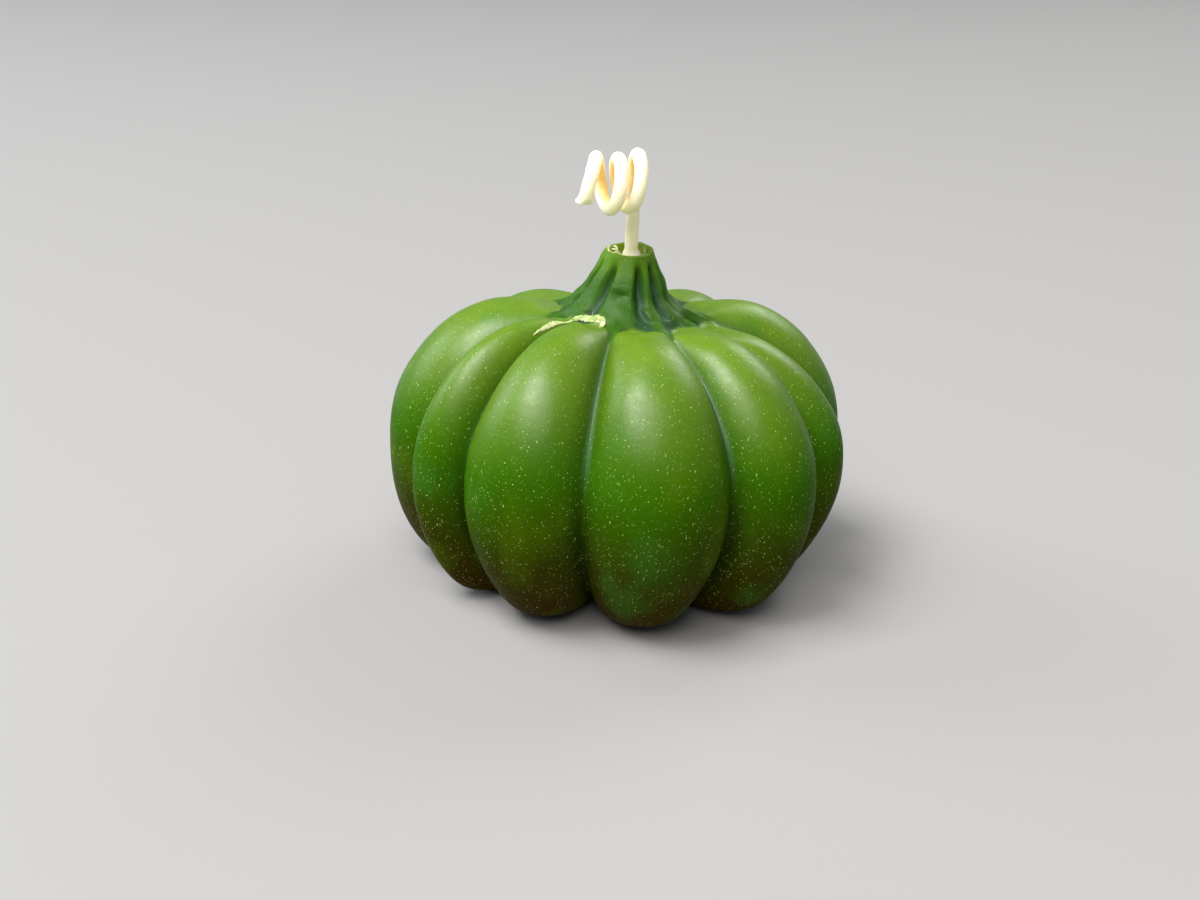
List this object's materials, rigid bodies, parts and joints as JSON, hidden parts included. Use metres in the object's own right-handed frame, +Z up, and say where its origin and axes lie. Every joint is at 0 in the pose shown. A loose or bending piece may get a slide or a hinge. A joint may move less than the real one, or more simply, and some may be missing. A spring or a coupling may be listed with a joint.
{
  "type": "pumpkin-shaped candle",
  "caption": "Green wax candle cast in the shape of a small ribbed pumpkin, standing on its flat pour face, with a fluted open stem and a waxed wick curled at its end.",
  "frame": {"origin": "centre of the candle's footprint, on the flat pour face that it rests on", "axes": "+Z up along the wick, -Y towards the front lobes, +X to the right as seen from the front"},
  "size_m": [0.0804, 0.0784, 0.0764],
  "materials": {
    "green_wax": "satin cast wax, leaf green, yellower on the crowns and darker in the grooves, with fine pale specks",
    "waxed_wick": "braided cotton dipped in cream wax, smooth and slightly glossy"
  },
  "bodies": {
    "root": {"wax_body": "green_wax", "wick": "waxed_wick"}
  },
  "joints": []
}
